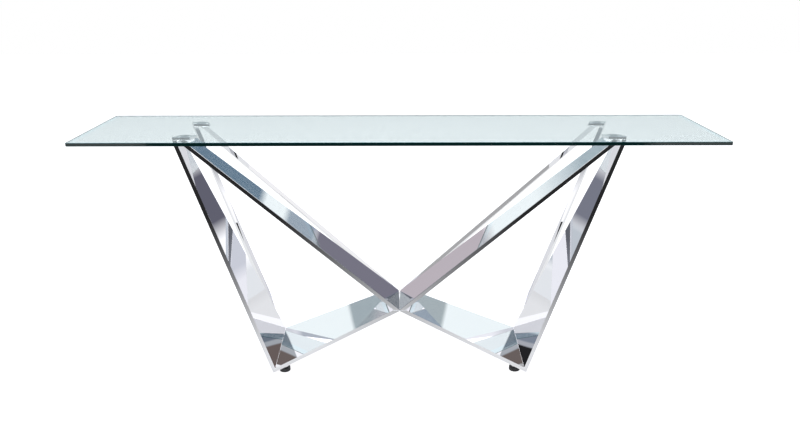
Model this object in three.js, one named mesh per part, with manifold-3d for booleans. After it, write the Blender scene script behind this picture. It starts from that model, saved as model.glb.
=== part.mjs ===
// Console table: a long glass top on two folded, open triangular loops of polished
// plate. Each loop has an outer leg, a rising bottom rail and a falling diagonal, and
// every member is split at the middle plane into a front and a rear tapered plate.
// Millimetres, +Z up, +X along the length, front towards -Y, origin on the floor
// under the middle of the top.
import * as THREE from "three";
import { ConvexGeometry } from "three/addons/geometries/ConvexGeometry.js";
import { mergeVertices } from "three/addons/utils/BufferGeometryUtils.js";
import Module from "manifold-3d";

const wasm = await Module();
wasm.setup();

// Glass top
const TOP_LENGTH = 1800;
const TOP_DEPTH = 400;
const TOP_HEIGHT = 750;
const GLASS = 10;
const ARRIS = 1;

// Plates. u is the distance outward from the middle of the table along X.
const PLATE = 10.8;
const FRONT_Y = -112; // front edge of the legs and of every plate at its outer end
const CENTRE_Y = -66; // front edge of rails and diagonals where the loops meet
const LEG_U0 = 379.6; // inner face of the leg at the floor, on the front edge
const LEG_LEAN = 0.336; // outward travel per millimetre of height
const LEG_FOLD = 0.448; // inward travel per millimetre of depth
const RAIL_Z0 = 203.3; // top face of the rail at the centre, on the front edge
const RAIL_FALL = 0.399; // drop per millimetre outward
const RAIL_FOLD = 0.672; // rise per millimetre of depth
const DIAG_Z0 = 193.7; // upper face of the diagonal at the centre, on the front edge
const DIAG_RISE = 0.934; // rise per millimetre outward
const DIAG_FOLD = 0.555; // rise per millimetre of depth
const LEG_REAR_Y = -81.5; // where the leg plate ends in depth, at the top
const DIAG_REAR_Y = -76.5; // where the diagonal plate ends in depth, at the top
const GAP = 0.3;

// Pads under the glass
const PAD_TOP = 738;
const PAD_THICK = 8;
const PAD_INNER_U = 587;
const PAD_OUTER_U = 637;
const PAD_REAR_Y = -81;
const PAD_SKEW = 0.42;
const DISC_R = 13;
const DISC_THICK = 1.4;
const DISC_U = 605;
const DISC_Y = -96.5;

// Levelling feet
const FOOT_U = 359;
const FOOT_Y = -88;
const FOOT_PAD_R = 17;
const FOOT_PAD_H = 12;
const FOOT_CHAMFER = 1.5;
const STUD_R = 4;
const STUD_TOP = 28;
const FLANGE_R = 9;
const FLANGE_H = 2.2;
const BOSS_R = 11;
const BOSS_BORE_R = 4.08;
const BOSS_BOTTOM = 15;
const SEGMENTS = 32;

const PAD_BOTTOM = PAD_TOP - PAD_THICK;
const PLATE_TOP = PAD_BOTTOM - GAP;

const steel = new THREE.MeshStandardMaterial({ color: 0xd9d9dc, roughness: 0.04, metalness: 1 });
const glass = new THREE.MeshStandardMaterial({ color: 0xcfe3df, roughness: 0.02, metalness: 0 });
const rubber = new THREE.MeshStandardMaterial({ color: 0x141416, roughness: 0.6, metalness: 0 });
const zinc = new THREE.MeshStandardMaterial({ color: 0xa8a9ab, roughness: 0.35, metalness: 1 });

const group = new THREE.Group();

// A half-space in (u, y, z): the solid side is where normal . point <= limit.
function side(nu, ny, nz, limit) {
  const length = Math.hypot(nu, ny, nz);
  return { n: new THREE.Vector3(nu, ny, nz).divideScalar(length), d: limit / length };
}

function flipped(plane, shift) {
  return { n: plane.n.clone().negate(), d: -plane.d + shift };
}

// The mitre between two faces: the plane through their common line at equal angles.
function mitre(a, b, clearance) {
  const n = a.n.clone().sub(b.n);
  const length = n.length();
  return { n: n.divideScalar(length), d: (a.d - b.d) / length - clearance };
}

function meetingPoint(a, b, c) {
  const bc = new THREE.Vector3().crossVectors(b.n, c.n);
  const det = a.n.dot(bc);
  if (Math.abs(det) < 1e-9) {
    return null;
  }
  const ca = new THREE.Vector3().crossVectors(c.n, a.n);
  const ab = new THREE.Vector3().crossVectors(a.n, b.n);
  const point = bc.multiplyScalar(a.d);
  point.addScaledVector(ca, b.d);
  point.addScaledVector(ab, c.d);
  return point.divideScalar(det);
}

// The corners shared by every half-space of a convex body.
function corners(planes) {
  const found = [];
  for (let i = 0; i < planes.length; i += 1) {
    for (let j = i + 1; j < planes.length; j += 1) {
      for (let k = j + 1; k < planes.length; k += 1) {
        const point = meetingPoint(planes[i], planes[j], planes[k]);
        if (point === null) {
          continue;
        }
        const inside = planes.every((plane) => plane.n.dot(point) <= plane.d + 1e-6);
        const known = found.some((other) => other.distanceTo(point) < 1e-4);
        if (inside && !known) {
          found.push(point);
        }
      }
    }
  }
  return found;
}

// Places a body described in (u, y, z) of the front quarter into one of the four.
function convex(planes, quarter) {
  const placed = corners(planes).map(
    (p) => new THREE.Vector3(p.x * quarter.sx, p.y * quarter.sy, p.z),
  );
  return new ConvexGeometry(placed);
}

function add(name, geometry, material) {
  const mesh = new THREE.Mesh(geometry, material);
  mesh.name = name;
  group.add(mesh);
  return mesh;
}

function toSolid(geometry) {
  const bare = geometry.clone();
  bare.deleteAttribute("normal");
  bare.deleteAttribute("uv");
  const merged = mergeVertices(bare, 1e-4);
  return new wasm.Manifold(
    new wasm.Mesh({
      numProp: 3,
      vertProperties: new Float32Array(merged.attributes.position.array),
      triVerts: new Uint32Array(merged.index.array),
    }),
  );
}

function toGeometry(solid) {
  const mesh = solid.getMesh();
  const geometry = new THREE.BufferGeometry();
  geometry.setAttribute("position", new THREE.BufferAttribute(mesh.vertProperties, 3));
  geometry.setIndex(new THREE.BufferAttribute(mesh.triVerts, 1));
  geometry.computeVertexNormals();
  return geometry;
}

// A body of revolution about Z from [radius, z] pairs.
function turned(profile) {
  const points = profile.map(([r, z]) => new THREE.Vector2(r, z));
  const geometry = new THREE.LatheGeometry(points, SEGMENTS);
  geometry.rotateX(Math.PI / 2);
  return geometry;
}

// Inner and outer faces of the three plates, and the planes that trim them.
const legInner = side(-1, -LEG_FOLD, LEG_LEAN, -LEG_U0 - LEG_FOLD * FRONT_Y);
const railTop = side(RAIL_FALL, -RAIL_FOLD, 1, RAIL_Z0 - RAIL_FOLD * CENTRE_Y);
const diagTop = side(-DIAG_RISE, -DIAG_FOLD, 1, DIAG_Z0 - DIAG_FOLD * CENTRE_Y);
const legOuter = flipped(legInner, PLATE);
const railBottom = flipped(railTop, PLATE);
const diagBottom = flipped(diagTop, PLATE);
const middle = side(0, 1, 0, -GAP / 2);
const centreCut = side(-1, 0, 0, -GAP / 2);
const plateTop = side(0, 0, 1, PLATE_TOP);

// The inner fold of the leg meets the middle plane on the ridge of the rail.
const ridge = meetingPoint(legInner, railTop, side(0, 1, 0, 0));
const foot = meetingPoint(legOuter, railBottom, side(0, 1, 0, FRONT_Y));
const legHead = LEG_U0 + LEG_LEAN * PLATE_TOP;
const diagHead = meetingPoint(diagTop, plateTop, side(0, 1, 0, FRONT_Y)).x;

const legFront = side(0, -1, 0, -FRONT_Y);
const railFront = side((FRONT_Y - CENTRE_Y) / foot.x, -1, 0, -CENTRE_Y);
const diagFront = side((FRONT_Y - CENTRE_Y) / legHead, -1, 0, -CENTRE_Y);
const legTaper = -LEG_REAR_Y / (PLATE_TOP - ridge.z);
const legRear = side(0, 1, legTaper, legTaper * ridge.z);
const diagTaper = -DIAG_REAR_Y / diagHead;
const diagRear = side(diagTaper, 1, 0, -GAP / 2);

// Along a leg the rail lies below the mitre, and the diagonal lies above its own.
const legEnd = mitre(legInner, railTop, 0);
const legAboveRail = { n: legEnd.n, d: legEnd.d - GAP / 2 };
const railInsideLeg = flipped(legEnd, -GAP / 2);
const diagEnd = mitre(diagBottom, railTop, 0);
const diagAboveRail = { n: diagEnd.n, d: diagEnd.d - GAP / 2 };
const railBelowDiag = flipped(diagEnd, -GAP / 2);

const quarters = [
  { name: "front_left", sx: -1, sy: 1 },
  { name: "front_right", sx: 1, sy: 1 },
  { name: "rear_left", sx: -1, sy: -1 },
  { name: "rear_right", sx: 1, sy: -1 },
];

// Glass top: a rectangular sheet with its long and short edges lightly arrised.
const sheet = new THREE.Shape();
sheet.moveTo(-TOP_LENGTH / 2 + ARRIS, -TOP_DEPTH / 2 + ARRIS);
sheet.lineTo(TOP_LENGTH / 2 - ARRIS, -TOP_DEPTH / 2 + ARRIS);
sheet.lineTo(TOP_LENGTH / 2 - ARRIS, TOP_DEPTH / 2 - ARRIS);
sheet.lineTo(-TOP_LENGTH / 2 + ARRIS, TOP_DEPTH / 2 - ARRIS);
sheet.closePath();
const sheetGeometry = new THREE.ExtrudeGeometry(sheet, {
  depth: GLASS - 2 * ARRIS,
  bevelEnabled: true,
  bevelThickness: ARRIS,
  bevelSize: ARRIS,
  bevelSegments: 1,
});
add("glass_top", sheetGeometry, glass).position.z = TOP_HEIGHT - GLASS + ARRIS;

for (const quarter of quarters) {
  const { name, sx, sy } = quarter;

  const leg = [legInner, legOuter, legFront, legRear, middle, plateTop, legAboveRail];
  add(`leg_${name}`, convex(leg, quarter), steel);

  const rail = [railTop, railBottom, railFront, middle, centreCut];
  rail.push(railInsideLeg, railBelowDiag);
  add(`rail_${name}`, convex(rail, quarter), steel);

  const diagonal = [diagTop, diagBottom, diagFront, diagRear, plateTop, centreCut];
  diagonal.push(diagAboveRail);
  add(`diagonal_${name}`, convex(diagonal, quarter), steel);

  const pad = [
    side(0, 0, 1, PAD_TOP),
    side(0, 0, -1, -PAD_BOTTOM),
    side(0, -1, 0, -FRONT_Y),
    side(0, 1, 0, PAD_REAR_Y),
    side(1, PAD_SKEW, 0, PAD_OUTER_U + PAD_SKEW * FRONT_Y),
    side(-1, -PAD_SKEW, 0, -PAD_INNER_U - PAD_SKEW * FRONT_Y),
  ];
  add(`top_pad_${name}`, convex(pad, quarter), steel);

  const discBottom = PAD_TOP + GAP;
  const disc = turned([
    [0, 0],
    [DISC_R, 0],
    [DISC_R, DISC_THICK],
    [0, DISC_THICK],
  ]);
  add(`bond_disc_${name}`, disc, zinc).position.set(sx * DISC_U, sy * DISC_Y, discBottom);

  // The boss is welded to the slanted underside of the rail and takes the stud.
  const tube = turned([
    [BOSS_BORE_R, BOSS_BOTTOM],
    [BOSS_R, BOSS_BOTTOM],
    [BOSS_R, BOSS_BOTTOM + 60],
    [BOSS_BORE_R, BOSS_BOTTOM + 60],
    [BOSS_BORE_R, BOSS_BOTTOM],
  ]);
  tube.translate(sx * FOOT_U, sy * FOOT_Y, 0);
  const below = [
    flipped(railBottom, -GAP),
    side(1, 0, 0, FOOT_U + 60),
    side(-1, 0, 0, -FOOT_U + 60),
    side(0, 1, 0, FOOT_Y + 60),
    side(0, -1, 0, -FOOT_Y + 60),
    side(0, 0, -1, 20),
  ];
  const boss = toSolid(tube).intersect(toSolid(convex(below, quarter)));
  add(`foot_boss_${name}`, toGeometry(boss), steel);

  const stud = turned([
    [0, FOOT_PAD_H + GAP],
    [FLANGE_R, FOOT_PAD_H + GAP],
    [FLANGE_R, FOOT_PAD_H + GAP + FLANGE_H],
    [STUD_R, FOOT_PAD_H + GAP + FLANGE_H],
    [STUD_R, STUD_TOP - 1],
    [STUD_R - 1, STUD_TOP],
    [0, STUD_TOP],
  ]);
  add(`foot_stud_${name}`, stud, zinc).position.set(sx * FOOT_U, sy * FOOT_Y, 0);

  const puck = turned([
    [0, 0],
    [FOOT_PAD_R - FOOT_CHAMFER, 0],
    [FOOT_PAD_R, FOOT_CHAMFER],
    [FOOT_PAD_R, FOOT_PAD_H - FOOT_CHAMFER],
    [FOOT_PAD_R - FOOT_CHAMFER, FOOT_PAD_H],
    [0, FOOT_PAD_H],
  ]);
  add(`foot_pad_${name}`, puck, rubber).position.set(sx * FOOT_U, sy * FOOT_Y, 0);
}

export default group;
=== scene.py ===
# %% [markdown]
# A console table: a long sheet of clear glass on a mirror-polished steel base. The
# base is two open triangular loops whose plates are folded towards the middle. The
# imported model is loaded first, and every piece below takes its place from it.

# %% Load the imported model
import math

import bmesh
import bpy
import numpy as np
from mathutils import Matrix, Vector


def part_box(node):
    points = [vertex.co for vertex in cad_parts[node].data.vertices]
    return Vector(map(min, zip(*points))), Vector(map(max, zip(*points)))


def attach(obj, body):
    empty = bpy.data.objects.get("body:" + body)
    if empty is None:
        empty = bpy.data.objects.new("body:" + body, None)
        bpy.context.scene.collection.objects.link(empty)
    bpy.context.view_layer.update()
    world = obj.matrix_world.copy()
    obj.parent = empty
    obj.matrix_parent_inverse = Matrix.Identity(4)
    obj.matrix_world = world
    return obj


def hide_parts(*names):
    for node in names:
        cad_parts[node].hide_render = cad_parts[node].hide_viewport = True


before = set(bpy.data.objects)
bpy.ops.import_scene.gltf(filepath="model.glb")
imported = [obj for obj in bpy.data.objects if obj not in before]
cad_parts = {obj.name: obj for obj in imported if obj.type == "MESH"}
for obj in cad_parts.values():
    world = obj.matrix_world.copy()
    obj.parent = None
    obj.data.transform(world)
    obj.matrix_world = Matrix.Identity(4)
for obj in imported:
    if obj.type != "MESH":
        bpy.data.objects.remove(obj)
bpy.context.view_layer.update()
MM = 0.001
QUARTERS = ("front_left", "front_right", "rear_left", "rear_right")

# %% [markdown]
# The camera stands about two metres in front of the table at a standing person's
# chest height and looks a little down. A 34.5 mm lens on a 36 mm sensor gives the
# perspective of the long top.

# %% Camera
CAMERA_LENS_MM = 34.53
CAMERA_SENSOR_MM = 36.0
CAMERA_PLACE = (-0.0061, -2.2259, 1.1981)
CAMERA_TURN_DEGREES = (71.68, 0.065, -0.22)
camera_data = bpy.data.cameras.new("camera")
camera_data.lens = CAMERA_LENS_MM
camera_data.sensor_width = CAMERA_SENSOR_MM
camera = bpy.data.objects.new("camera", camera_data)
bpy.context.scene.collection.objects.link(camera)
camera.location = CAMERA_PLACE
camera.rotation_euler = tuple(math.radians(a) for a in CAMERA_TURN_DEGREES)
bpy.context.scene.camera = camera
bpy.context.scene.view_settings.view_transform = "Standard"

# %% [markdown]
# A mirror shows its surroundings, so polished steel is lit with shapes more than
# with lamps. The studio here is a bright room with soft-edged cards: darker or
# tinted areas given by compass direction and height. One node group makes a card's
# mask, and each card places that group with its own values.

# %% Helpers for node trees


def math_node(tree, operation, *inputs):
    """Adds a Math node and wires or sets each of its inputs in turn."""
    node = tree.nodes.new("ShaderNodeMath")
    node.operation = operation
    for index, value in enumerate(inputs):
        if isinstance(value, bpy.types.NodeSocket):
            tree.links.new(value, node.inputs[index])
        else:
            node.inputs[index].default_value = value
    return node.outputs[0]


def new_group(name, inputs, outputs):
    """An empty shader group with inputs {name: (kind, default)} and outputs {name: kind}."""
    group = bpy.data.node_groups.new(name, "ShaderNodeTree")
    for socket_name, (kind, default) in inputs.items():
        socket = group.interface.new_socket(socket_name, in_out="INPUT", socket_type=kind)
        if default is not None:
            socket.default_value = default
    for socket_name, kind in outputs.items():
        group.interface.new_socket(socket_name, in_out="OUTPUT", socket_type=kind)
    return group, group.nodes.new("NodeGroupInput"), group.nodes.new("NodeGroupOutput")


def soft_step(tree, distance, softness):
    """0 where distance is negative and 1 where it is positive, with a soft step."""
    ramp = math_node(tree, "ADD", math_node(tree, "DIVIDE", distance, softness), 0.5)
    return math_node(tree, "MINIMUM", math_node(tree, "MAXIMUM", ramp, 0.0), 1.0)


def band(tree, angle, centre, half, softness):
    """1 within half of centre, falling to 0 over softness, all in degrees."""
    away = math_node(tree, "ABSOLUTE", math_node(tree, "SUBTRACT", angle, centre))
    return soft_step(tree, math_node(tree, "SUBTRACT", half, away), softness)


def direction_parts(group, group_input):
    """The x, y and z of the group's Direction input."""
    split = group.nodes.new("ShaderNodeSeparateXYZ")
    group.links.new(group_input.outputs["Direction"], split.inputs[0])
    return split.outputs


# %% A soft-edged card in the studio's surroundings
FLOAT = "NodeSocketFloat"
VECTOR = "NodeSocketVector"
TO_DEGREES = 180.0 / math.pi
card_group, card_in, card_out = new_group(
    "studio_card",
    {
        "Direction": (VECTOR, None),
        "Azimuth": (FLOAT, 0.0),
        "Elevation": (FLOAT, 0.0),
        "Half Width": (FLOAT, 10.0),
        "Half Height": (FLOAT, 5.0),
        "Softness": (FLOAT, 1.0),
    },
    {"Mask": FLOAT},
)
x, y, z = direction_parts(card_group, card_in)
azimuth = math_node(card_group, "ARCTAN2", x, y)
azimuth = math_node(card_group, "MULTIPLY", azimuth, TO_DEGREES)
elevation = math_node(card_group, "ARCSINE", z)
elevation = math_node(card_group, "MULTIPLY", elevation, TO_DEGREES)
soft = card_in.outputs["Softness"]
across = band(card_group, azimuth, card_in.outputs["Azimuth"], card_in.outputs["Half Width"], soft)
upright = band(
    card_group, elevation, card_in.outputs["Elevation"], card_in.outputs["Half Height"], soft
)
card_group.links.new(math_node(card_group, "MULTIPLY", across, upright), card_out.inputs["Mask"])

# %% A gable-shaped card overhead
# Straight up, compass directions crowd together, so this card is drawn on the flat
# x and y of the direction instead: below a roof line that falls to both sides.
gable_group, gable_in, gable_out = new_group(
    "overhead_gable",
    {
        "Direction": (VECTOR, None),
        "Ridge": (FLOAT, -0.1845),
        "Pitch": (FLOAT, 0.885),
        "Far Limit": (FLOAT, -0.1),
        "Near Limit": (FLOAT, -0.3),
        "Softness": (FLOAT, 0.002),
    },
    {"Mask": FLOAT},
)
gable_x, gable_y, gable_z = direction_parts(gable_group, gable_in)
gable_soft = gable_in.outputs["Softness"]
sideways = math_node(gable_group, "ABSOLUTE", gable_x)
fall = math_node(gable_group, "MULTIPLY", sideways, gable_in.outputs["Pitch"])
roof = math_node(gable_group, "SUBTRACT", gable_in.outputs["Ridge"], fall)
edges = [
    math_node(gable_group, "SUBTRACT", roof, gable_y),
    math_node(gable_group, "SUBTRACT", gable_in.outputs["Far Limit"], gable_y),
    math_node(gable_group, "SUBTRACT", gable_y, gable_in.outputs["Near Limit"]),
    gable_z,
]
gable_mask = soft_step(gable_group, edges[0], gable_soft)
for edge in edges[1:]:
    inside = soft_step(gable_group, edge, gable_soft)
    gable_mask = math_node(gable_group, "MULTIPLY", gable_mask, inside)
gable_group.links.new(gable_mask, gable_out.inputs["Mask"])

# %% The cards of this studio
# Flags are large soft cards that stand on both sides alike. They give the outer and
# the rear plates something to mirror. The smaller cards lie in front of them, and a
# later card covers an earlier one.
FLAGS = (
    (98, 13, 13, 24, 8, (0.15, 0.16, 0.185)),
    (146, 20, 13, 17, 10, (0.30, 0.33, 0.38)),
    (176, 38, 16, 13, 8, (0.36, 0.40, 0.45)),
    (124, 50, 14, 14, 8, (0.24, 0.30, 0.37)),
    (20, 46, 16, 12, 8, (0.42, 0.48, 0.53)),
    (40, 74, 30, 6, 6, (0.55, 0.58, 0.61)),
    (20, 3, 22, 3, 3, (0.22, 0.24, 0.27)),
    (160, 3, 14, 3, 3, (0.16, 0.17, 0.19)),
    (66, -2, 9, 2.6, 1, (0.84, 0.87, 0.90)),
)
# Each card: azimuth (0 behind the table, 90 to the right), elevation, half width,
# half height, softness in degrees, and its colour.
CARDS = (
    (0, 12, 26, 4, 4, (0.42, 0.48, 0.51)),
    (66, 6.1, 6, 2.4, 1.4, (0.13, 0.13, 0.17)),
    (-66, 6.2, 6, 2.2, 1.6, (0.20, 0.21, 0.26)),
    (66, 11, 6, 2.4, 0.5, (0.33, 0.37, 0.44)),
    (-66, 11, 6, 2.6, 0.5, (0.64, 0.67, 0.74)),
    (129, 3, 8, 4, 2, (0.66, 0.71, 0.77)),
    (-129, 3, 8, 4, 2, (0.66, 0.70, 0.75)),
    (-39, 20, 3, 3, 1, (0.80, 0.83, 0.88)),
    (-66, 2.3, 6, 1.6, 0.6, (0.56, 0.61, 0.66)),
    (-62, 70, 12, 3.6, 0.4, (0.50, 0.50, 0.53)),
    (62, 70, 12, 3.6, 0.4, (0.22, 0.225, 0.25)),
    (-75.5, 33.5, 6, 4, 0.5, (0.34, 0.38, 0.41)),
    (75.5, 33.5, 6, 4, 0.5, (0.40, 0.43, 0.45)),
    (52, 50.2, 24, 13, 0.6, (0.08, 0.165, 0.26)),
    (60, 34, 20, 1.2, 0.5, (0.31, 0.37, 0.46)),
    (60, 26.4, 20, 6.4, 0.6, (0.20, 0.195, 0.245)),
    (-54, 46.5, 20, 7, 4.0, (0.42, 0.50, 0.56)),
    (-60, 26.5, 20, 7, 1.0, (0.54, 0.49, 0.53)),
    (-80, 61, 14, 5.3, 0.3, (0.40, 0.45, 0.49)),
    (80, 61, 14, 5.3, 0.3, (0.44, 0.48, 0.51)),
    (112.5, 53.5, 3.5, 4, 0.3, (0.17, 0.205, 0.25)),
    (-112.5, 53.5, 3.5, 4, 0.3, (0.24, 0.28, 0.34)),
    (112.5, 53.5, 2.3, 4, 0.2, (0.42, 0.45, 0.48)),
    (-112.5, 53.5, 2.3, 4, 0.2, (0.46, 0.48, 0.52)),
    (112.5, 53.5, 1.7, 4, 0.2, (0.165, 0.13, 0.12)),
    (-112.5, 53.5, 1.7, 4, 0.2, (0.02, 0.02, 0.022)),
)
# Each overhead card: its topmost and lowest limit towards the front, and its colour.
OVERHEAD = (
    (-0.10, -0.30, (0.18, 0.215, 0.26)),
    (-0.2195, -0.30, (0.46, 0.49, 0.52)),
    (-0.2270, -0.30, (0.17, 0.14, 0.13)),
)

# %% Surroundings: a bright room with its cards
ROOM = (1.13, 1.14, 1.16, 1.0)
BACKDROP = (1.0, 1.0, 1.0, 1.0)
world = bpy.data.worlds.new("studio")
bpy.context.scene.world = world
world.use_nodes = True
sky = world.node_tree
sky.nodes.clear()
sky_out = sky.nodes.new("ShaderNodeOutputWorld")
direction = sky.nodes.new("ShaderNodeTexCoord").outputs["Generated"]


def lay_over(below, group, settings, tint):
    """The colour below, a socket or a plain colour, with one card of a tint over it."""
    card = sky.nodes.new("ShaderNodeGroup")
    card.node_tree = group
    sky.links.new(direction, card.inputs["Direction"])
    for socket_name, value in settings.items():
        card.inputs[socket_name].default_value = value
    mix = sky.nodes.new("ShaderNodeMix")
    mix.data_type = "RGBA"
    sky.links.new(card.outputs["Mask"], mix.inputs["Factor"])
    if isinstance(below, bpy.types.NodeSocket):
        sky.links.new(below, mix.inputs["A"])
    else:
        mix.inputs["A"].default_value = below
    mix.inputs["B"].default_value = (*tint, 1.0)
    return mix.outputs["Result"]


CARD_SOCKETS = ("Azimuth", "Elevation", "Half Width", "Half Height", "Softness")
colour = ROOM
flag_pairs = [(side * flag[0], *flag[1:]) for flag in FLAGS for side in (-1, 1)]
for *values, tint in (*flag_pairs, *CARDS):
    colour = lay_over(colour, card_group, dict(zip(CARD_SOCKETS, values)), tint)
for far_limit, near_limit, tint in OVERHEAD:
    limits = {"Far Limit": far_limit, "Near Limit": near_limit}
    colour = lay_over(colour, gable_group, limits, tint)
reflected = sky.nodes.new("ShaderNodeBackground")
sky.links.new(colour, reflected.inputs["Color"])
backdrop = sky.nodes.new("ShaderNodeBackground")
backdrop.inputs["Color"].default_value = BACKDROP
seen = sky.nodes.new("ShaderNodeLightPath")
choose = sky.nodes.new("ShaderNodeMixShader")
sky.links.new(seen.outputs["Is Camera Ray"], choose.inputs[0])
sky.links.new(reflected.outputs[0], choose.inputs[1])
sky.links.new(backdrop.outputs[0], choose.inputs[2])
sky.links.new(choose.outputs[0], sky_out.inputs["Surface"])
print("cards in the studio:", len(flag_pairs) + len(CARDS) + len(OVERHEAD))

# %% [markdown]
# The glass sheet and the feet are stacks of rings: a grid of points with one row per
# ring, closed by a flat cap at each end. The same builder makes the sheet, whose rings
# are rounded rectangles, and the turned feet, whose rings are circles.

# %% Rings to a closed mesh


def ring_angles(columns):
    """Angles of evenly spaced columns once around, in radians."""
    return np.linspace(0.0, 2.0 * np.pi, columns, endpoint=False)


def ringed_solid(name, rings, row_material=None):
    """A closed mesh from rings[row, column, xyz], rows going up, columns anticlockwise.
    Faces join each ring to the next, and a flat cap closes the first and the last."""
    rows, columns, _ = rings.shape
    index = np.arange(rows * columns).reshape(rows, columns)
    after = np.roll(index, -1, axis=1)
    quads = np.stack([index[:-1], after[:-1], after[1:], index[1:]], axis=-1).reshape(-1, 4)
    faces = quads.tolist() + [index[0, ::-1].tolist(), index[-1].tolist()]
    mesh = bpy.data.meshes.new(name)
    mesh.from_pydata(rings.reshape(-1, 3).tolist(), [], faces)
    if row_material is not None:
        per_face = np.repeat(np.asarray(row_material[:-2], np.int32), columns)
        per_face = np.concatenate([per_face, np.asarray(row_material[-2:], np.int32)])
        mesh.polygons.foreach_set("material_index", per_face)
    mesh.update()
    piece = bpy.data.objects.new(name, mesh)
    bpy.context.scene.collection.objects.link(piece)
    return piece


def turned(name, radius, height, centre):
    """A body about an upright axis: radius[row, column] at each height and angle."""
    angle = ring_angles(radius.shape[1])
    rings = np.empty(radius.shape + (3,))
    rings[..., 0] = centre[0] + radius * np.cos(angle)
    rings[..., 1] = centre[1] + radius * np.sin(angle)
    rings[..., 2] = centre[2] + height
    return ringed_solid(name, rings)


def shade_smooth(piece, degrees=30.0):
    """Smooths faces that meet at less than the given angle and keeps sharper edges."""
    piece.data.polygons.foreach_set("use_smooth", np.ones(len(piece.data.polygons), bool))
    piece.data.set_sharp_from_angle(angle=math.radians(degrees))


# %% [markdown]
# Finishes. Polished steel is a metal with almost no roughness. Two things keep it
# from looking computed: a faint haze that the polishing wheel leaves, which changes
# the roughness a little from place to place, and a very slight ripple of the sheet,
# which bends the reflections. Both are node groups, so each finish places them with
# its own values. The glass takes the haze and no ripple.

# %% Node groups for haze and ripple
HAZE_BEGINS, HAZE_FULL = 0.35, 0.75
haze_group, haze_in, haze_out = new_group(
    "polishing_haze",
    {"Scale": (FLOAT, 8.0), "Clean": (FLOAT, 0.02), "Hazy": (FLOAT, 0.08)},
    {"Roughness": FLOAT},
)
haze_place = haze_group.nodes.new("ShaderNodeTexCoord").outputs["Object"]
haze_noise = haze_group.nodes.new("ShaderNodeTexNoise")
haze_noise.inputs["Detail"].default_value = 6.0
haze_group.links.new(haze_place, haze_noise.inputs["Vector"])
haze_group.links.new(haze_in.outputs["Scale"], haze_noise.inputs["Scale"])
haze_span = haze_group.nodes.new("ShaderNodeMapRange")
haze_span.inputs["From Min"].default_value = HAZE_BEGINS
haze_span.inputs["From Max"].default_value = HAZE_FULL
haze_group.links.new(haze_noise.outputs[0], haze_span.inputs["Value"])
haze_group.links.new(haze_in.outputs["Clean"], haze_span.inputs["To Min"])
haze_group.links.new(haze_in.outputs["Hazy"], haze_span.inputs["To Max"])
haze_group.links.new(haze_span.outputs[0], haze_out.inputs["Roughness"])

ripple_group, ripple_in, ripple_out = new_group(
    "sheet_ripple",
    {"Scale": (FLOAT, 5.0), "Grain Scale": (FLOAT, 400.0), "Grain": (FLOAT, 0.05)},
    {"Height": FLOAT},
)
ripple_place = ripple_group.nodes.new("ShaderNodeTexCoord").outputs["Object"]
wave = ripple_group.nodes.new("ShaderNodeTexNoise")
wave.inputs["Detail"].default_value = 1.0
ripple_group.links.new(ripple_place, wave.inputs["Vector"])
ripple_group.links.new(ripple_in.outputs["Scale"], wave.inputs["Scale"])
fine = ripple_group.nodes.new("ShaderNodeTexNoise")
fine.inputs["Detail"].default_value = 2.0
ripple_group.links.new(ripple_place, fine.inputs["Vector"])
ripple_group.links.new(ripple_in.outputs["Grain Scale"], fine.inputs["Scale"])
fine_part = math_node(ripple_group, "MULTIPLY", fine.outputs[0], ripple_in.outputs["Grain"])
height_sum = math_node(ripple_group, "ADD", wave.outputs[0], fine_part)
ripple_group.links.new(height_sum, ripple_out.inputs["Height"])

# %% Building a finish from the groups


def finish(name, base, metallic, roughness, haze_scale=8.0, ripple=None, **sockets):
    """A material whose roughness runs between two values under a haze. The ripple, if
    there is one, is (scale, grain scale, grain, strength, distance in metres)."""
    material = bpy.data.materials.new(name)
    material.use_nodes = True
    tree = material.node_tree
    shader = tree.nodes["Principled BSDF"]
    shader.inputs["Base Color"].default_value = (*base, 1.0)
    shader.inputs["Metallic"].default_value = metallic
    for socket_name, value in sockets.items():
        shader.inputs[socket_name.replace("_", " ")].default_value = value
    haze = tree.nodes.new("ShaderNodeGroup")
    haze.node_tree = haze_group
    haze.inputs["Scale"].default_value = haze_scale
    haze.inputs["Clean"].default_value = roughness[0]
    haze.inputs["Hazy"].default_value = roughness[1]
    tree.links.new(haze.outputs["Roughness"], shader.inputs["Roughness"])
    if ripple is not None:
        scale, grain_scale, grain, strength, distance = ripple
        wavy = tree.nodes.new("ShaderNodeGroup")
        wavy.node_tree = ripple_group
        wavy.inputs["Scale"].default_value = scale
        wavy.inputs["Grain Scale"].default_value = grain_scale
        wavy.inputs["Grain"].default_value = grain
        bump = tree.nodes.new("ShaderNodeBump")
        bump.inputs["Strength"].default_value = strength
        bump.inputs["Distance"].default_value = distance
        tree.links.new(wavy.outputs["Height"], bump.inputs["Height"])
        tree.links.new(bump.outputs["Normal"], shader.inputs["Normal"])
    return material


mirror_steel = finish(
    "mirror_steel", (0.90, 0.90, 0.92), 1.0, (0.0, 0.010), 9.0,
    ripple=(4.0, 600.0, 0.0005, 0.25, 0.0006),
)
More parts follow.
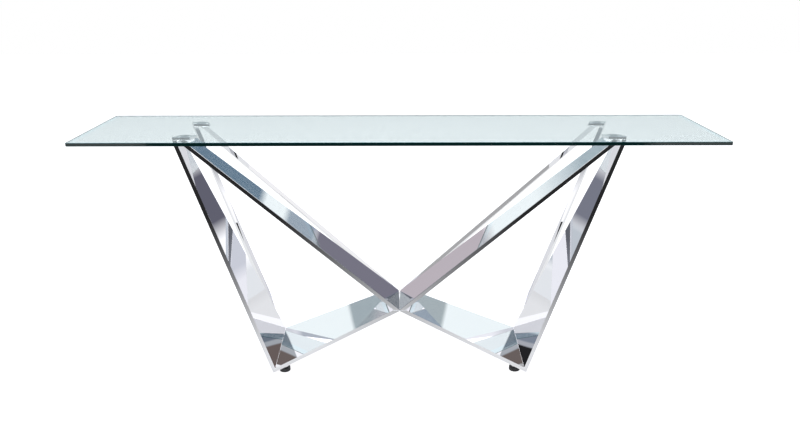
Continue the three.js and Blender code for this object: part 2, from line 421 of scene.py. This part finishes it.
# Between facing plates light bounces many times before it leaves. Past a few bounces
# the steel emits an even painted glow of its own, in place of the black of a path that is cut
# short.
DEEP_BOUNCE = 3.5
DEEP_GLOW = 1.2
steel_tree = mirror_steel.node_tree
bounces = steel_tree.nodes.new("ShaderNodeLightPath").outputs["Ray Depth"]
deep = math_node(steel_tree, "GREATER_THAN", bounces, DEEP_BOUNCE)
glow = steel_tree.nodes.new("ShaderNodeCombineColor")
for channel in range(3):
    steel_tree.links.new(deep, glow.inputs[channel])
steel_shader = steel_tree.nodes["Principled BSDF"]
steel_tree.links.new(glow.outputs[0], steel_shader.inputs["Emission Color"])
steel_shader.inputs["Emission Strength"].default_value = DEEP_GLOW
zinc_steel = finish(
    "zinc_steel", (0.55, 0.55, 0.57), 1.0, (0.22, 0.38), 90.0,
    ripple=(60.0, 900.0, 0.3, 0.3, 0.0002),
)
disc_metal = finish(
    "bonded_disc_metal", (0.48, 0.51, 0.54), 1.0, (0.25, 0.42), 120.0,
    ripple=(80.0, 900.0, 0.3, 0.3, 0.0002),
)
rubber = finish(
    "foot_rubber", (0.018, 0.018, 0.02), 0.0, (0.45, 0.7), 70.0,
    ripple=(90.0, 1200.0, 0.5, 0.6, 0.0004),
)
glass_face = finish(
    "glass_face", (0.835, 0.90, 0.895), 0.0, (0.0, 0.012), 5.0,
    Transmission_Weight=1.0, IOR=1.5,
)
# Painted light: a paler, bluer tint for the band of the top face along the sheet's edge.
glass_rim_painted_light = finish(
    "glass_rim_painted_light", (0.80, 0.97, 1.0), 0.0, (0.0, 0.012), 5.0,
    Transmission_Weight=1.0, IOR=1.5,
)
glass_edge = finish(
    "glass_edge", (0.001, 0.022, 0.021), 0.0, (0.03, 0.12), 20.0,
    IOR=1.5, Coat_Weight=0.3,
)
glass_arris = finish(
    "glass_arris", (0.06, 0.26, 0.29), 0.0, (0.05, 0.2), 20.0, IOR=1.5,
)

# %% [markdown]
# The glass top. The real sheet is 10 mm thick with ground and polished edges. From
# the side the light has come through the whole sheet, so the edge looks dark
# blue-green, and the ground corner along it, the arris, catches a pale line. The
# sheet is made as rings of a rounded rectangle, so the edge, the arris and the
# faces can each have their own finish.

# %% Glass top
CORNER = 3.0 * MM
ARRIS = 0.5 * MM
RIM = 18.0 * MM
low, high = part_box("glass_top")


def rounded_rectangle(inset, level, steps=9):
    """Points of a rectangle with rounded corners, moved inwards by inset: each
    corner is a quarter circle whose radius shrinks with the inset."""
    corner = np.array([[1, -1], [1, 1], [-1, 1], [-1, -1]], float)
    radius = max(CORNER - inset, 0.5 * MM)
    start = np.radians([-90.0, 0.0, 90.0, 180.0])
    angle = start[:, None] + np.linspace(0.0, np.pi / 2.0, steps)
    half = np.array([high[0] - low[0], high[1] - low[1]]) / 2.0
    middle = np.array([high[0] + low[0], high[1] + low[1]]) / 2.0
    centre = middle + corner * (half - inset - radius)
    around = np.stack([np.cos(angle), np.sin(angle)], axis=-1) * radius
    flat = (centre[:, None, :] + around).reshape(-1, 2)
    return np.column_stack([flat, np.full(len(flat), level)])


insets = np.array([ARRIS, 0.0, 0.0, ARRIS, RIM])
levels = np.array([low[2], low[2] + ARRIS, high[2] - ARRIS, high[2], high[2]])
sheet_rings = np.stack([rounded_rectangle(i, z_) for i, z_ in zip(insets, levels)])
# The fourth slot gives the band of the top face along the edge its painted-light tint.
FACE, EDGE, LINE, NEAR_EDGE_PAINTED_LIGHT = 0, 1, 2, 3
glass_sheet = ringed_solid("glass_sheet", sheet_rings, [EDGE, EDGE, LINE, NEAR_EDGE_PAINTED_LIGHT, FACE, FACE])
for material in (glass_face, glass_edge, glass_arris, glass_rim_painted_light):
    glass_sheet.data.materials.append(material)
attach(glass_sheet, "table")
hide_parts("glass_top")
print("glass", [round(v, 4) for v in glass_sheet.dimensions])

# %% [markdown]
# The polished plates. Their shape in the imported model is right, but its edges are
# perfectly sharp. A buffed plate has an edge eased by a fraction of a millimetre,
# which catches a fine line of light. Each plate is copied, its triangles are merged
# back to flat faces, and a narrow Bevel modifier eases the edges.

# %% Plates with eased edges
EASE = 0.7 * MM
SEAM = 1.6 * MM


def node_points(node):
    """All the points of a node's mesh, in metres."""
    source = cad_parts[node].data
    points = np.empty(len(source.vertices) * 3)
    source.vertices.foreach_get("co", points)
    return points.reshape(-1, 3)


PLATES = [f"{part}_{quarter}" for quarter in QUARTERS for part in ("leg", "rail", "diagonal")]
corners_of = {node: node_points(node) for node in PLATES}


def eased_copy(node, name, width, segments=2):
    """A merged copy of a CAD node's mesh with flat faces joined and edges eased. An
    edge stays sharp where both its ends meet the corners of another plate, because
    the two are welded there and ground flush."""
    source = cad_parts[node].data
    points = node_points(node)
    corners = np.empty(len(source.loops), np.int32)
    source.loops.foreach_get("vertex_index", corners)
    snapped = np.round(points / (0.01 * MM)).astype(np.int64)
    _, first, inverse = np.unique(snapped, axis=0, return_index=True, return_inverse=True)
    triangles = inverse.reshape(-1)[corners].reshape(-1, 3)
    mesh = bpy.data.meshes.new(name)
    mesh.from_pydata(points[first].tolist(), [], triangles.tolist())
    work = bmesh.new()
    work.from_mesh(mesh)
    bmesh.ops.dissolve_limit(
        work, angle_limit=math.radians(0.5), verts=work.verts, edges=work.edges
    )
    work.to_mesh(mesh)
    work.free()
    piece = bpy.data.objects.new(name, mesh)
    bpy.context.scene.collection.objects.link(piece)
    place = np.empty(len(mesh.vertices) * 3)
    mesh.vertices.foreach_get("co", place)
    ends = np.empty(len(mesh.edges) * 2, np.int32)
    mesh.edges.foreach_get("vertices", ends)
    others = np.concatenate([corners_of[other] for other in corners_of if other != node])
    apart = np.linalg.norm(place.reshape(-1, 1, 3) - others[None, :, :], axis=2).min(axis=1)
    seam = (apart[ends.reshape(-1, 2)] < SEAM).all(axis=1)
    weight = mesh.attributes.new("bevel_weight_edge", "FLOAT", "EDGE")
    weight.data.foreach_set("value", np.where(seam, 0.0, 1.0).astype(np.float32))
    ease = piece.modifiers.new("ease", "BEVEL")
    ease.width = width
    ease.segments = segments
    ease.limit_method = "WEIGHT"
    return piece


for quarter in QUARTERS:
    for part in ("leg", "rail", "diagonal", "top_pad"):
        node = f"{part}_{quarter}"
        plate = eased_copy(node, f"polished_{node}", EASE)
        plate.data.materials.append(mirror_steel)
        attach(plate, "table")
        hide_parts(node)
print("plates eased by", EASE / MM, "mm")

# %% [markdown]
# The feet. Each is a black puck with a few fine grip rings, under a threaded stud
# with a hexagonal shoulder for a spanner. All three are turned shapes: the radius
# is worked out for every height and angle at once.

# %% Puck, shoulder and thread as radius functions
SECTORS = 48
PUCK_RIM = 1.5 * MM
GROOVES = 4
GROOVE_DEPTH = 0.35 * MM
SHOULDER_TALL = 2.2 * MM
SHOULDER_CHAMFER = (0.7 * MM, 0.5 * MM)
THREAD_PITCH = 1.25 * MM
THREAD_DEPTH = 0.6 * MM
THREAD_RADIUS = 3.98 * MM
THREAD_STEPS = 8
TIP_TALL = 0.6 * MM
TIP_TAPER = 1.0 * MM


def puck(node, name):
    """A puck whose side carries four shallow grooves: the radius dips by a raised
    cosine at each, and the rims are rounded by a quarter circle."""
    low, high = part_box(node)
    radius, tall = (high[0] - low[0]) / 2.0, high[2] - low[2]
    rim = PUCK_RIM
    quarter_turn = np.linspace(0.0, np.pi / 2.0, 6)
    side = np.linspace(rim, tall - rim, 10 * GROOVES + 1)
    phase = 2.0 * np.pi * GROOVES * (side - rim) / (tall - 2.0 * rim)
    grooves = GROOVE_DEPTH * (0.5 - 0.5 * np.cos(phase))
    height = np.concatenate([
        rim * (1.0 - np.cos(quarter_turn)), side[1:-1], tall - rim + rim * np.sin(quarter_turn)
    ])
    reach = np.concatenate([
        radius - rim * (1.0 - np.sin(quarter_turn)),
        radius - grooves[1:-1],
        radius - rim * (1.0 - np.cos(quarter_turn)),
    ])
    middle = (low + high) / 2.0
    grid = np.repeat(reach[:, None], SECTORS, axis=1)
    return turned(name, grid, height[:, None], (middle[0], middle[1], low[2]))


def stud(node, name):
    """A hexagonal shoulder, then a thread. On the shoulder the radius is the nearer
    of a hexagon and a chamfer cone. On the thread it is a triangle wave of height
    minus turns, so each ring is shifted a little and the crest climbs as a helix."""
    low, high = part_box(node)
    centre = (low + high) / 2.0
    tall = high[2] - low[2]
    angle = ring_angles(SECTORS)
    corner = (high[0] - low[0]) / 2.0
    flats = corner * math.cos(math.pi / 6.0)
    to_flat = np.mod(angle, np.pi / 3.0) - np.pi / 6.0
    hexagon = flats / np.cos(to_flat)
    cut_in, cut_up = SHOULDER_CHAMFER
    head = np.array([0.0, cut_up, SHOULDER_TALL - cut_up, SHOULDER_TALL])
    cone = corner - np.array([cut_in, 0.0, 0.0, cut_in])
    head_radius = np.minimum(hexagon[None, :], cone[:, None])
    shaft = np.arange(SHOULDER_TALL, tall - TIP_TALL, THREAD_PITCH / THREAD_STEPS)
    turns = shaft[:, None] / THREAD_PITCH - angle[None, :] / (2.0 * np.pi)
    crest = np.abs(2.0 * (turns - np.floor(turns)) - 1.0)
    thread_radius = THREAD_RADIUS - THREAD_DEPTH * crest
    tip = np.array([tall])
    tip_radius = np.full((1, SECTORS), THREAD_RADIUS - TIP_TAPER)
    height = np.concatenate([head, shaft, tip])
    radius = np.concatenate([head_radius, thread_radius, tip_radius])
    return turned(name, radius, height[:, None], (centre[0], centre[1], low[2]))


# %% Make the feet
for quarter in QUARTERS:
    body = f"foot_{quarter}"
    foot = puck(f"foot_pad_{quarter}", f"foot_puck_{quarter}")
    foot.data.materials.append(rubber)
    shade_smooth(foot)
    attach(foot, body)
    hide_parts(f"foot_pad_{quarter}")
    screw = stud(f"foot_stud_{quarter}", f"foot_screw_{quarter}")
    screw.data.materials.append(zinc_steel)
    shade_smooth(screw, 25.0)
    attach(screw, body)
    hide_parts(f"foot_stud_{quarter}")

# %% [markdown]
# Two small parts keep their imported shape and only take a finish: the boss that
# holds each foot's stud, and the disc bonded between each pad and the glass.

# %% Finishes of the bosses and the bonded discs
for quarter in QUARTERS:
    for node, material in (
        (f"foot_boss_{quarter}", mirror_steel), (f"bond_disc_{quarter}", disc_metal)
    ):
        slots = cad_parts[node].material_slots
        for entry in slots:
            entry.material = material

# %% [markdown]
# The floor is pale and plain. It glows a little by itself, so it stays white where it
# is seen directly or through the glass. Mirror rays see it darken towards the front,
# and that is what the front edges of the steel reflect.

# %% Floor
FLOOR_X, FLOOR_NEAR, FLOOR_FAR = 7.0, -7.0, 9.0
floor_mesh = bpy.data.meshes.new("floor")
floor_mesh.from_pydata(
    [
        (-FLOOR_X, FLOOR_NEAR, 0.0), (FLOOR_X, FLOOR_NEAR, 0.0),
        (FLOOR_X, FLOOR_FAR, 0.0), (-FLOOR_X, FLOOR_FAR, 0.0),
    ],
    [], [(0, 1, 2, 3)],
)
floor = bpy.data.objects.new("floor", floor_mesh)
bpy.context.scene.collection.objects.link(floor)

# %% The floor's paint: white to the eye, faded towards the front in mirror rays
# Lengths are metres. In mirror rays the floor fades to DARKEST at NEAR_DARK in front
# of the table, inside a wedge of half width DARK_WIDTH that widens towards the front.
# Past FAR_START from the middle it dims to FAR_LEVEL of its brightness.
NEAR_DARK = 2.6
FADE_POWER = 3.9
FADE_GAIN = 0.93
BRIGHTEST = 0.64
DARKEST = 0.017
DARK_WIDTH = 0.46
DARK_SPREAD = 0.37
DARK_EDGE = 0.12
FAR_START = 4.2
FAR_END = 6.5
FAR_LEVEL = 0.92
FLOOR_COLOUR = (0.72, 0.72, 0.72, 1.0)
FLOOR_ROUGHNESS = 0.9
FLOOR_GLOW = 0.80
floor_paint = bpy.data.materials.new("floor_paint")
floor_paint.use_nodes = True
paint = floor_paint.node_tree
paint_shader = paint.nodes["Principled BSDF"]
paint_shader.inputs["Roughness"].default_value = FLOOR_ROUGHNESS
paint_shader.inputs["Specular IOR Level"].default_value = 0.0
place = paint.nodes.new("ShaderNodeTexCoord").outputs["Object"]
place_split = paint.nodes.new("ShaderNodeSeparateXYZ")
paint.links.new(place, place_split.inputs[0])
depth = math_node(paint, "ADD", place_split.outputs["Y"], NEAR_DARK)
depth = math_node(paint, "DIVIDE", depth, NEAR_DARK)
depth = math_node(paint, "MINIMUM", math_node(paint, "MAXIMUM", depth, 0.0), 1.0)
depth = math_node(paint, "POWER", depth, FADE_POWER)
depth = math_node(paint, "MULTIPLY", depth, FADE_GAIN)
towards = math_node(paint, "MULTIPLY", place_split.outputs["Y"], DARK_SPREAD)
beside = math_node(paint, "ADD", math_node(paint, "ABSOLUTE", place_split.outputs["X"]), towards)
beside = math_node(paint, "SUBTRACT", beside, DARK_WIDTH)
beside = math_node(paint, "MAXIMUM", math_node(paint, "DIVIDE", beside, DARK_EDGE), 0.0)
depth = math_node(paint, "MAXIMUM", depth, beside)
depth = math_node(paint, "MINIMUM", math_node(paint, "MAXIMUM", depth, DARKEST), BRIGHTEST)
across_x = math_node(paint, "MULTIPLY", place_split.outputs["X"], place_split.outputs["X"])
across_y = math_node(paint, "MULTIPLY", place_split.outputs["Y"], place_split.outputs["Y"])
distance = math_node(paint, "SQRT", math_node(paint, "ADD", across_x, across_y))
far = paint.nodes.new("ShaderNodeMapRange")
far.inputs["From Min"].default_value = FAR_START
far.inputs["From Max"].default_value = FAR_END
far.inputs["To Min"].default_value = 1.0
far.inputs["To Max"].default_value = FAR_LEVEL
paint.links.new(distance, far.inputs["Value"])
depth = math_node(paint, "MULTIPLY", depth, far.outputs[0])
rays = paint.nodes.new("ShaderNodeLightPath").outputs
direct = math_node(paint, "MAXIMUM", rays["Is Camera Ray"], rays["Is Transmission Ray"])
level = math_node(paint, "MAXIMUM", depth, direct)
shade = paint.nodes.new("ShaderNodeCombineColor")
for channel in range(3):
    paint.links.new(level, shade.inputs[channel])
dim = paint.nodes.new("ShaderNodeMix")
dim.data_type = "RGBA"
dim.blend_type = "MULTIPLY"
dim.inputs["Factor"].default_value = 1.0
dim.inputs["A"].default_value = FLOOR_COLOUR
paint.links.new(shade.outputs[0], dim.inputs["B"])
paint.links.new(dim.outputs["Result"], paint_shader.inputs["Base Color"])
paint.links.new(shade.outputs[0], paint_shader.inputs["Emission Color"])
paint_shader.inputs["Emission Strength"].default_value = FLOOR_GLOW
floor_mesh.materials.append(floor_paint)

# %% [markdown]
# A dark reflection is lifted with a strip of white board. Two narrow boards stand
# just in front of the base, where the inner plates of the rear loops mirror them.
# They are part of the stage: only mirror rays see them.

# %% Reflector boards
BOARD_Y = -0.2
BOARD_OUTER = (0.585, 0.546)
BOARD_INNER = (0.10, 0.17)
BOARD_HALF = 0.022
LEFT_GLOW, RIGHT_GLOW = 0.95, 0.40
(outer_x, outer_z), (inner_x, inner_z) = BOARD_OUTER, BOARD_INNER
for side, strength in ((-1.0, LEFT_GLOW), (1.0, RIGHT_GLOW)):
    board_mesh = bpy.data.meshes.new("reflector_board")
    board_mesh.from_pydata(
        [
            (side * outer_x, BOARD_Y, outer_z - BOARD_HALF),
            (side * inner_x, BOARD_Y, inner_z - BOARD_HALF),
            (side * inner_x, BOARD_Y, inner_z + BOARD_HALF),
            (side * outer_x, BOARD_Y, outer_z + BOARD_HALF),
        ],
        [], [(0, 1, 2, 3)],
    )
    board = bpy.data.objects.new(board_mesh.name, board_mesh)
    bpy.context.scene.collection.objects.link(board)
    board.visible_camera = False
    board.visible_diffuse = False
    board.visible_transmission = False
    board.visible_shadow = False
    board_paint = bpy.data.materials.new("board_paint")
    board_paint.use_nodes = True
    board_shader = board_paint.node_tree.nodes["Principled BSDF"]
    board_shader.inputs["Base Color"].default_value = (0.0, 0.0, 0.0, 1.0)
    board_shader.inputs["Emission Color"].default_value = (1.0, 1.0, 1.0, 1.0)
    board_shader.inputs["Emission Strength"].default_value = strength
    board_mesh.materials.append(board_paint)

# %% Bring the scene up to date
bpy.context.view_layer.update()
